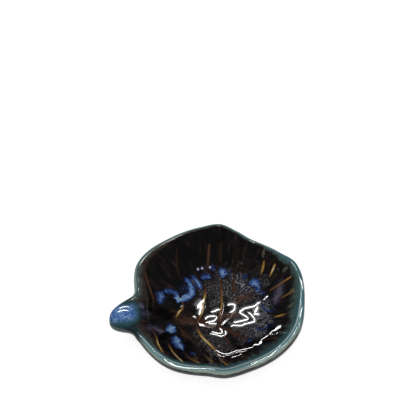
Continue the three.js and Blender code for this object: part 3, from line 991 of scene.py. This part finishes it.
        stem = node(
            "ShaderNodeMapRange",
            {"Value": stem, "From Min": begin, "From Max": full},
            interpolation_type="SMOOTHSTEP",
        )["Result"]
        nod = node("ShaderNodeVectorMath", {0: self.stem_lean, "Scale": stem}, operation="SCALE")[0]
        normal = node("ShaderNodeNewGeometry")["Normal"]
        for tip in (lean, nod):
            normal = node("ShaderNodeVectorMath", {0: normal, 1: tip}, operation="ADD")[0]
        normal = node("ShaderNodeMix", {"Factor": level, 4: normal, 5: crest}, data_type="VECTOR")[1]
        half = (0.5, 0.5, 0.5)
        normal = node("ShaderNodeVectorMath", {0: normal, 1: half, 2: half}, operation="MULTIPLY_ADD")[0]
        normal = node("ShaderNodeNormalMap", {"Color": normal}, space="OBJECT")["Normal"]
        return node(
            "ShaderNodeBump",
            {
                "Strength": self.peel_strength,
                "Distance": self.peel_height * MM,
                "Height": grains[Grain.GRIT],
                "Normal": normal,
            },
        )["Normal"]


@dataclass(frozen=True)
class BareClay:
    """Bare fired stoneware, wiped clean of glaze: matt and sandy, with iron specks."""

    buff: str = "b59c7e"
    tan: str = "9a7f60"
    iron: str = "4a3526"
    roughness: float = 0.85
    cloud_size: float = 5.0
    cloud_detail: float = 5.0
    grog_size: float = 0.5
    grog_detail: float = 3.0
    speck_gap: float = 1.8
    speck_ease: Ease = (0.2, 0.12)
    sand_strength: float = 0.6
    sand_height: float = 0.1

    def material(self) -> bpy.types.Material:
        """Build the clay.

        Returns:
            The material.
        """
        made, node = new_material("bare_stoneware")
        place = node("ShaderNodeTexCoord")["Object"]
        place = node("ShaderNodeVectorMath", {0: place, "Scale": 1 / MM}, operation="SCALE")[0]
        cloud, grog = (
            node("ShaderNodeTexNoise", {"Vector": place, "Scale": 1 / size, "Detail": detail})["Fac"]
            for size, detail in ((self.cloud_size, self.cloud_detail), (self.grog_size, self.grog_detail))
        )
        specks = node("ShaderNodeTexVoronoi", {"Vector": place, "Scale": 1 / self.speck_gap})["Distance"]
        tan, buff, iron = linear(self.tan), linear(self.buff), linear(self.iron)
        clay = node("ShaderNodeMix", {"Factor": cloud, 6: tan, 7: buff}, data_type="RGBA")[2]
        begin, full = self.speck_ease
        near = node("ShaderNodeMapRange", {"Value": specks, "From Min": begin, "From Max": full})["Result"]
        clay = node("ShaderNodeMix", {"Factor": near, 6: clay, 7: iron}, data_type="RGBA")[2]
        sandy = node(
            "ShaderNodeBump",
            {"Strength": self.sand_strength, "Distance": self.sand_height * MM, "Height": grog},
        )["Normal"]
        surface = node(
            "ShaderNodeBsdfPrincipled",
            {"Base Color": clay, "Roughness": self.roughness, "Normal": sandy},
        )["BSDF"]
        node("ShaderNodeOutputMaterial", {"Surface": surface})
        return made


def new_mesh(name: str, points: Array, faces: Array | list) -> bpy.types.Mesh:
    """Make a mesh from points and faces.

    Args:
        name: The mesh's name.
        points: One point per row, in metres.
        faces: Point numbers of each face.

    Returns:
        The mesh, smooth-shaded.
    """
    mesh = bpy.data.meshes.new(name)
    mesh.from_pydata(points.tolist(), [], faces.tolist() if isinstance(faces, Array) else faces)
    mesh.shade_smooth()
    mesh.validate()
    return mesh


def new_object(name: str, mesh: bpy.types.Mesh) -> bpy.types.Object:
    """Link a mesh into the scene.

    Args:
        name: The object's name.
        mesh: The mesh.

    Returns:
        The object.
    """
    made = bpy.data.objects.new(name, mesh)
    bpy.context.scene.collection.objects.link(made)
    return made


def ring_faces(rings: int, columns: int, pole: int) -> list[list[int]]:
    """Join rings of points, the first to a pole inside it.

    Args:
        rings: How many rings there are, one after another.
        columns: How many points each ring has.
        pole: Point number of the pole.

    Returns:
        Point numbers of each face.
    """
    a = np.arange(columns)
    b = np.roll(a, -1)
    corners = np.stack([a, columns + a, columns + b, b], 1)
    quads = np.concatenate([k * columns + corners for k in range(rings - 1)])
    return quads.tolist() + np.stack([np.full(columns, pole), a, b], 1).tolist()


def store(mesh: bpy.types.Mesh, name: str, values: Array) -> None:
    """Keep one number per point on a mesh."""
    layer = mesh.attributes.new(name, "FLOAT", "POINT")
    layer.data.foreach_set("value", np.ascontiguousarray(values, dtype=np.float32))


@dataclass
class GlazedLeaf:
    """The leaf with its stem: slab, raised veins and the glaze over them, in millimetres.

    Pools of cobalt feather from feather[0] of their reach to feather[1], up the wall.
    """

    form: LeafForm
    columns: int = 420
    inside_rows: int = 176
    under_rows: int = 46
    stem_crowding: float = 0.55
    stem_rows: float = 6.0
    ridge_height: float = 0.4
    wave_height: float = 0.15
    wave_length: float = 9.0
    wave_detail: float = 1.0
    wave_seed: float = 3.0
    curve_steps: int = 24
    line_step: float = 0.7
    line_taper: float = 2.0
    tip_width: float = 0.35
    ridge_reach: float = 1.6
    feather_start: float = -0.3
    feather: Ease = (0.8, 1.4)
    far_off: float = 4.0
    strokes: dict[Stain, tuple[Stroke, ...]] = field(
        default_factory=lambda: {
            Stain.VEIN: VEINS,
            Stain.RUST: RUST,
            Stain.FROST: FROST,
            Stain.MARBLE: MARBLE,
            Stain.MAUVE: MAUVE,
            Stain.COBALT: COBALT,
            Stain.LILAC: LILAC,
            Stain.ASH: ASH,
            Stain.LEVEL: LEVEL,
        }
    )

    def slab(self) -> bpy.types.Mesh:
        """Build the whole leaf as one closed skin.

        Returns:
            The mesh, with each point's distance from the edge and share of the stem.
        """
        u = np.arange(self.columns) / self.columns
        bearing = 360 * (u + self.stem_crowding * np.sin(2 * np.pi * u) / (2 * np.pi))
        inside = np.sin(np.linspace(0, np.pi / 2, self.inside_rows + 1))[1:]
        under = np.sin(np.linspace(np.pi / 2, 0, self.under_rows + 1))[1:-1]
        share = np.concatenate([inside, under])
        side = np.repeat([Side.INSIDE.value, Side.UNDERSIDE.value], [len(inside), len(under)])
        turn, row = np.meshgrid(bearing, share)
        leaf = self.form.leaf_radius(turn)
        reach = leaf * row + (self.form.outline(turn) - leaf) * row**self.stem_rows
        x = reach * np.cos(np.radians(turn))
        y = reach * np.sin(np.radians(turn))
        sides = np.broadcast_to(side[:, None], x.shape)
        grid = self.form.skin(x, y, sides).reshape(-1, 3)
        zero = np.zeros(1)
        poles = [self.form.skin(zero, zero, face.value) for face in Side]
        points = np.concatenate([grid, *poles])
        rows, columns = x.shape
        top, bottom = len(grid), len(grid) + 1
        faces = ring_faces(rows, columns, top)
        last = (rows - 1) * columns + np.arange(columns)
        faces += [[bottom, j, i] for i, j in zip(last.tolist(), np.roll(last, -1).tolist())]
        mesh = new_mesh("leaf_skin", self.form.to_frame(points), faces)
        edge = self.form.edge_distance(x, y) * sides
        floor_edge = [edge.max(), edge.min()]
        store(mesh, "edge", np.concatenate([edge.ravel(), floor_edge]))
        stem = self.form.stem_body(np.hypot(x, y), np.degrees(np.arctan2(y, x)))
        store(mesh, "stem", np.concatenate([stem.ravel(), [0.0, 0.0]]))
        return mesh

    def line(self, stroke: Stroke) -> Array:
        """Draw a stroke as a smooth line on the unit leaf.

        Args:
            stroke: The stroke.

        Returns:
            x, y, strength and share of the full width, evenly spaced along it.
        """
        knots = np.array([(*point, 1.0)[:3] for point in stroke.points])
        padded = np.concatenate([[2 * knots[0] - knots[1]], knots, [2 * knots[-1] - knots[-2]]])
        t = np.linspace(0, 1, self.curve_steps, endpoint=False)[:, None]
        runs = []
        for p, q, r, s in zip(padded, padded[1:], padded[2:], padded[3:]):
            bend = (2 * p - 5 * q + 4 * r - s) * t**2 + (3 * q - p - 3 * r + s) * t**3
            runs.append(0.5 * (2 * q + (r - p) * t + bend))
        smooth = np.concatenate([*runs, knots[-1:]])
        plan = self.form.place(smooth[:, :2])
        along = np.concatenate([[0], np.cumsum(np.linalg.norm(np.diff(plan, axis=0), axis=1))])
        places = np.linspace(0, along[-1], max(3, round(along[-1] / self.line_step)))
        smooth = np.stack([np.interp(places, along, smooth[:, i]) for i in range(3)], 1)
        ends = np.clip(np.minimum(places, along[-1] - places) / self.line_taper, 0, 1)
        taper = self.tip_width + (1 - self.tip_width) * np.sqrt(ends * (2 - ends))
        return np.concatenate([smooth, taper[:, None]], 1)

    def lines(self, stain: Stain) -> bpy.types.Object:
        """Lay all strokes of one stain on the leaf as lines.

        Args:
            stain: The stain.

        Returns:
            An object of edges, with each point's half width, strength and ridge.
        """
        points, edges = [], []
        kept = {"half": [], "strength": [], "ridge": []}
        for stroke in self.strokes[stain]:
            line = self.line(stroke)
            start = sum(len(p) for p in points)
            plan = self.form.place(line[:, :2])
            points.append(self.form.to_frame(self.form.skin(plan[:, 0], plan[:, 1], Side.INSIDE.value)))
            edges += [(start + i, start + i + 1) for i in range(len(line) - 1)]
            kept["half"].append(line[:, 3] * stroke.width / 2 * MM)
            kept["strength"].append(np.clip(line[:, 2], 0, 1))
            kept["ridge"].append(np.full(len(line), stroke.ridge))
        mesh = bpy.data.meshes.new(f"{stain.value}_lines")
        mesh.from_pydata(np.concatenate(points).tolist(), edges, [])
        for name, values in kept.items():
            store(mesh, name, np.concatenate(values))
        return new_object(mesh.name, mesh)

    def relief_tree(self) -> bpy.types.NodeTree:
        """Build the Geometry Nodes tree that raises the veins and lays the stains.

        Returns:
            The tree.
        """
        tree = bpy.data.node_groups.new("glaze_relief", "GeometryNodeTree")
        sockets = tree.interface
        sockets.new_socket("Skin", in_out="INPUT", socket_type="NodeSocketGeometry")
        for stain in Stain:
            sockets.new_socket(stain.value, in_out="INPUT", socket_type="NodeSocketObject")
        for size in ("Ridge height", "Wave height", "Wave length", "Seed"):
            sockets.new_socket(size, in_out="INPUT", socket_type="NodeSocketFloat")
        sockets.new_socket("Glaze", in_out="INPUT", socket_type="NodeSocketMaterial")
        sockets.new_socket("Leaf", in_out="OUTPUT", socket_type="NodeSocketGeometry")
        node = partial(add_node, tree)
        given = node("NodeGroupInput")
        spot = node("GeometryNodeInputPosition")[0]
        middle = (self.form.centre[0] * MM, self.form.centre[1] * MM, 0.0)
        out = node("ShaderNodeVectorMath", {0: spot, 1: middle}, operation="SUBTRACT")[0]
        out = node("ShaderNodeVectorMath", {0: out, 1: (1.0, 1.0, 0.0)}, operation="MULTIPLY")[0]
        out = node("ShaderNodeVectorMath", {0: out}, operation="NORMALIZE")[0]
        per_metre = node("ShaderNodeMath", {0: 1.0, 1: given["Wave length"]}, operation="DIVIDE")[0]
        wave = node(
            "ShaderNodeTexNoise",
            {"Vector": spot, "W": given["Seed"], "Scale": per_metre, "Detail": self.wave_detail},
            noise_dimensions="4D",
        )["Fac"]
        wave = node("ShaderNodeMath", {0: wave, 1: 0.5}, operation="SUBTRACT")[0]
        lift = node("ShaderNodeMath", {0: wave, 1: given["Wave height"]}, operation="MULTIPLY")[0]
        shape = given["Skin"]
        for stain in Stain:
            lines = node("GeometryNodeObjectInfo", {"Object": given[stain.value]})["Geometry"]
            sought = {"Geometry": lines, "Sample Position": spot}
            found = node("GeometryNodeProximity", sought, target_element="EDGES")
            nearest = node("GeometryNodeSampleNearest", sought)["Index"]
            read = {}
            for name in ("half", "strength", "ridge"):
                value = node("GeometryNodeInputNamedAttribute", {"Name": name})["Attribute"]
                read[name] = node(
                    "GeometryNodeSampleIndex",
                    {"Geometry": lines, "Value": value, "Index": nearest},
                )["Value"]
            away = node("ShaderNodeMath", {0: found["Distance"], 1: read["half"]}, operation="DIVIDE")[0]
            if stain is Stain.COBALT:
                # Pools feather up the wall that they ran down
                up = node("ShaderNodeVectorMath", {0: spot, 1: found["Position"]}, operation="SUBTRACT")[0]
                up = node("ShaderNodeVectorMath", {0: up}, operation="NORMALIZE")[0]
                up = node("ShaderNodeVectorMath", {0: up, 1: out}, operation="DOT_PRODUCT")["Value"]
                short, long = self.feather
                feather = node(
                    "ShaderNodeMapRange",
                    {"Value": up, "From Min": self.feather_start, "To Min": short, "To Max": long},
                )["Result"]
                away = node("ShaderNodeMath", {0: away, 1: feather}, operation="DIVIDE")[0]
            if stain is Stain.VEIN:
                high = given["Ridge height"]
                near = node(
                    "ShaderNodeMapRange",
                    {"Value": away, "From Min": self.ridge_reach, "From Max": 0.0, "To Max": high},
                    interpolation_type="SMOOTHSTEP",
                )["Result"]
                raised = {0: near, 1: read["ridge"], 2: lift}
                lift = node("ShaderNodeMath", raised, operation="MULTIPLY_ADD")[0]
            away = node("ShaderNodeMath", {0: away, 1: self.far_off}, operation="MINIMUM")[0]
            for name, value in ((stain.value, away), (f"{stain.value}_strength", read["strength"])):
                shape = node(
                    "GeometryNodeStoreNamedAttribute",
                    {"Geometry": shape, "Name": name, "Value": value},
                    data_type="FLOAT",
                    domain="POINT",
                )["Geometry"]
        up = node("GeometryNodeInputNormal")[0]
        offset = node("ShaderNodeVectorMath", {0: up, "Scale": lift}, operation="SCALE")[0]
        shape = node("GeometryNodeSetPosition", {"Geometry": shape, "Offset": offset})["Geometry"]
        shape = node("GeometryNodeRealizeInstances", {"Geometry": shape})["Geometry"]
        shape = node("GeometryNodeSetMaterial", {"Geometry": shape, "Material": given["Glaze"]})["Geometry"]
        node("NodeGroupOutput", {"Leaf": shape})
        return tree

    def glazed(self, glaze: bpy.types.Material) -> bpy.types.Mesh:
        """Raise the veins on the slab and lay the stains.

        Args:
            glaze: The glaze's material.

        Returns:
            The whole leaf as a plain mesh.
        """
        slab = new_object("leaf_skin", self.slab())
        lines = {stain: self.lines(stain) for stain in Stain}
        relief = slab.modifiers.new("relief", "NODES")
        relief.node_group = self.relief_tree()
        values = {stain.value: made for stain, made in lines.items()}
        values |= {
            "Ridge height": self.ridge_height * MM,
            "Wave height": self.wave_height * MM,
            "Wave length": self.wave_length * MM,
            "Seed": self.wave_seed,
            "Glaze": glaze,
        }
        for socket in relief.node_group.interface.items_tree:
            if socket.in_out == "INPUT" and socket.name in values:
                relief[socket.identifier] = values[socket.name]
        bpy.context.view_layer.update()
        view = slab.evaluated_get(bpy.context.evaluated_depsgraph_get())
        mesh = bpy.data.meshes.new_from_object(view)
        slab.modifiers.remove(relief)
        for made in (slab, *lines.values()):
            bpy.data.objects.remove(made)
        return mesh

    def part(self, whole: bpy.types.Mesh, name: str, stem: bool) -> bpy.types.Object:
        """Cut the leaf at the seam and keep one side.

        Args:
            whole: The whole leaf.
            name: The piece's name.
            stem: True for the stem, False for the bowl.

        Returns:
            The piece, closed at the seam and shaded as part of the whole.
        """
        turn = math.radians(self.form.stem_bearing)
        out = Vector((math.cos(turn), math.sin(turn), 0.0))
        seam = float(self.form.leaf_radius(np.array([self.form.stem_bearing]))[0]) + self.form.seam_offset
        middle = Vector((*self.form.centre, 0.0))
        point = (middle + out * seam) * MM
        shape = bmesh.new()
        shape.from_mesh(whole)
        lean = shape.verts.layers.float_vector.new("lean")
        for vertex in shape.verts:
            vertex[lean] = vertex.normal
        everything = shape.verts[:] + shape.edges[:] + shape.faces[:]
        cut = bmesh.ops.bisect_plane(
            shape, geom=everything, plane_co=point, plane_no=out, clear_outer=not stem, clear_inner=stem
        )
        rim = [part for part in cut["geom_cut"] if isinstance(part, bmesh.types.BMEdge)]
        cap = bmesh.ops.edgeloop_fill(shape, edges=rim)["faces"]
        bmesh.ops.recalc_face_normals(shape, faces=shape.faces[:])
        caps = set(bmesh.ops.triangulate(shape, faces=cap)["faces"])
        leans = []
        for face in shape.faces:
            flat = face in caps
            leans += [face.normal.copy() if flat else loop.vert[lean].normalized() for loop in face.loops]
        mesh = bpy.data.meshes.new(name)
        shape.to_mesh(mesh)
        shape.free()
        mesh.attributes.remove(mesh.attributes["lean"])
        mesh.materials.append(whole.materials[0])
        mesh.shade_smooth()
        mesh.normals_split_custom_set(leans)
        return new_object(name, mesh)

    def build(self) -> list[bpy.types.Object]:
        """Make the bowl and the stem.

        Returns:
            The two pieces.
        """
        glaze = LeafGlaze(self.form.centre).material()
        whole = self.glazed(glaze)
        bowl = self.part(whole, "glazed_leaf_bowl", stem=False)
        stem = self.part(whole, "glazed_stem", stem=True)
        bpy.data.meshes.remove(whole)
        veins = [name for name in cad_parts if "vein" in name or name == "midrib"]
        for piece, slot, nodes in (
            (bowl, "leaf_glaze", ["leaf_bowl", *veins]),
            (stem, "stem_glaze", ["stem_handle"]),
        ):
            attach(piece, BODY)
            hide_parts(*nodes)
        return [bowl, stem]


@dataclass
class FootRing:
    """Coil of bare clay that the dish stands on, in millimetres.

    Each sway of the hand-rolled coil has its waves in a turn, its share of the
    wobble and where it starts.
    """

    form: LeafForm
    outer: float = 21.0
    width: float = 5.0
    corner: float = 1.0
    segments: int = 240
    corner_steps: int = 8
    flat_steps: int = 8
    roof_steps: int = 6
    wobble: float = 0.06
    sways: tuple[tuple[float, float, float], ...] = ((3.0, 1.0, 0.0), (7.0, 0.6, 1.0))

    def profile(self) -> Array:
        """Section of the coil, counter-clockwise.

        Returns:
            Distance from the middle and height, in millimetres.
        """
        inner, top = self.outer - self.width, self.form.foot_height
        turn = np.linspace(0, np.pi / 2, self.corner_steps)
        low = self.corner * (1 - np.cos(turn))
        out = self.corner * (1 - np.sin(turn))
        left = np.stack([inner + out[::-1], low[::-1]], 1)
        right = np.stack([self.outer - out, low], 1)
        flat = np.linspace(left[-1], right[0], self.flat_steps)[1:-1]
        roof = np.linspace([self.outer, top], [inner, top], self.roof_steps)
        return np.concatenate([left, flat, right, roof])

    def build(self) -> bpy.types.Object:
        """Make the foot.

        Returns:
            The piece.
        """
        section = self.profile()
        turn = np.linspace(0, 2 * np.pi, self.segments, endpoint=False)
        sway = self.wobble * sum(share * np.sin(waves * turn + start) for waves, share, start in self.sways)
        reach = section[None, :, 0] + sway[:, None]
        height = np.broadcast_to(section[None, :, 1], reach.shape)
        points = np.stack([reach * np.cos(turn)[:, None], reach * np.sin(turn)[:, None], height], -1)
        count = len(section)
        i, j = np.meshgrid(np.arange(self.segments), np.arange(count), indexing="ij")
        k, m = (i + 1) % self.segments, (j + 1) % count
        faces = np.stack([i * count + j, k * count + j, k * count + m, i * count + m], -1).reshape(-1, 4)
        mesh = new_mesh("bare_foot_ring", self.form.to_frame(points.reshape(-1, 3)), faces)
        mesh.materials.append(BareClay().material())
        piece = new_object("bare_foot_ring", mesh)
        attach(piece, BODY)
        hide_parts("foot_ring")
        return piece


@dataclass(frozen=True)
class Lamp:
    """A rectangular lamp that faces the dish, placed by bearing and elevation."""

    name: str
    bearing: float
    elevation: float
    distance: float
    size: tuple[float, float]
    radiance: float
    mirrored: bool = True


@dataclass
class Studio:
    """Pale floor, plain lamps and the camera at the photograph's viewing angle.

    The camera's place and lens are in millimetres, and all else is in metres. Each
    ring of the floor has its reach, and its rise as a share of the wall's height.
    """

    form: LeafForm
    lens: float = 85.0
    sensor: float = 36.0
    camera_place: tuple[float, float, float] = (-59.6, -222.3, 485.9)
    camera_bearing: float = -13.2
    camera_elevation: float = 58.08
    near_clip: float = 0.01
    floor_rings: tuple[tuple[float, float], ...] = (
        (0.6, 0.0), (1.5, 0.0), (3.0, 0.0), (5.0, 0.0), (5.7, 1 / 3), (6.0, 1.0),
    )
    floor_columns: int = 64
    wall_height: float = 0.32
    floor_colour: str = "ececec"
    aim_height: float = 0.01
    world_level: float = 0.07
    glow: float = 0.78
    lamps: tuple[Lamp, ...] = (
        Lamp("soft_top", 250.0, 74.0, 1.2, (1.2, 1.2), 1.5, mirrored=False),
        Lamp("window", 75.0, 64.0, 0.9, (0.07, 0.07), 45.0),
    )

    def floor_material(self) -> bpy.types.Material:
        """White surface that shows the dish's shadow and stays pale to the camera.

        Returns:
            The material.
        """
        made, node = new_material("pale_floor")
        path = node("ShaderNodeLightPath")
        seen = path["Is Camera Ray"]
        for ray in ("Is Glossy Ray", "Is Transmission Ray"):
            seen = node("ShaderNodeMath", {0: seen, 1: path[ray]}, operation="MAXIMUM")[0]
        glow = node("ShaderNodeMath", {0: seen, 1: self.glow}, operation="MULTIPLY")[0]
        lit = node("ShaderNodeBsdfDiffuse", {"Color": linear(self.floor_colour)})["BSDF"]
        bright = node("ShaderNodeEmission", {"Strength": glow})["Emission"]
        both = node("ShaderNodeAddShader", {0: lit, 1: bright})[0]
        node("ShaderNodeOutputMaterial", {"Surface": both})
        return made

    def floor(self) -> None:
        """Make the floor, swept up into a low backdrop all round."""
        reach, rise = np.array(self.floor_rings).T
        turn = np.linspace(0, 2 * np.pi, self.floor_columns, endpoint=False)
        x = np.outer(reach, np.cos(turn)).ravel()
        y = np.outer(reach, np.sin(turn)).ravel()
        z = np.repeat(rise * self.wall_height, self.floor_columns)
        points = np.append(np.stack([x, y, z], 1), [[0.0, 0.0, 0.0]], axis=0)
        mesh = new_mesh("floor", points, ring_faces(len(reach), self.floor_columns, len(points) - 1))
        mesh.materials.append(self.floor_material())
        new_object("floor", mesh)

    def light(self) -> None:
        """Place the lamps and the dim world."""
        middle = Vector((self.form.centre[0] * MM, self.form.centre[1] * MM, self.aim_height))
        for lamp in self.lamps:
            turn, lift = math.radians(lamp.bearing), math.radians(lamp.elevation)
            out = Vector((math.cos(turn) * math.cos(lift), math.sin(turn) * math.cos(lift), math.sin(lift)))
            data = bpy.data.lights.new(lamp.name, "AREA")
            data.shape = "RECTANGLE"
            data.size, data.size_y = lamp.size
            data.energy = lamp.radiance * math.pi * lamp.size[0] * lamp.size[1]
            made = bpy.data.objects.new(lamp.name, data)
            aim = out.to_track_quat("Z", "Y").to_matrix().to_4x4()
            made.matrix_world = Matrix.Translation(middle + out * lamp.distance) @ aim
            made.visible_glossy = lamp.mirrored
            bpy.context.scene.collection.objects.link(made)
        world = bpy.data.worlds.new("dim_room")
        world.use_nodes = True
        shade = world.node_tree.nodes["Background"]
        shade.inputs["Color"].default_value = linear("ffffff")
        shade.inputs["Strength"].default_value = self.world_level
        bpy.context.scene.world = world

    def camera(self) -> None:
        """Place the camera."""
        data = bpy.data.cameras.new("camera")
        data.lens = self.lens
        data.sensor_width = self.sensor
        data.clip_start = self.near_clip
        made = bpy.data.objects.new("camera", data)
        spot = self.form.to_frame(np.array(self.camera_place))
        turn, tip = math.radians(self.camera_bearing), math.radians(90.0 - self.camera_elevation)
        aim = Matrix.Rotation(turn, 4, "Z") @ Matrix.Rotation(tip, 4, "X")
        made.matrix_world = Matrix.Translation(Vector(spot)) @ aim
        bpy.context.scene.collection.objects.link(made)
        bpy.context.scene.camera = made

    def build(self) -> None:
        """Make the whole studio."""
        self.floor()
        self.light()
        self.camera()
        bpy.context.scene.view_settings.view_transform = "Standard"


def main() -> None:
    """Build the dish and its studio."""
    logging.basicConfig(level=logging.INFO, format="%(message)s")
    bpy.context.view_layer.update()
    low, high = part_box("foot_ring")
    centre = ((low[0] + high[0]) / 2 / MM, (low[1] + high[1]) / 2 / MM)
    form = LeafForm(centre)
    pieces = [*GlazedLeaf(form).build(), FootRing(form).build()]
    for piece in pieces:
        LOG.info("%s: %d points, %d faces", piece.name, len(piece.data.vertices), len(piece.data.polygons))
    Studio(form).build()


if __name__ == "__main__":
    main()
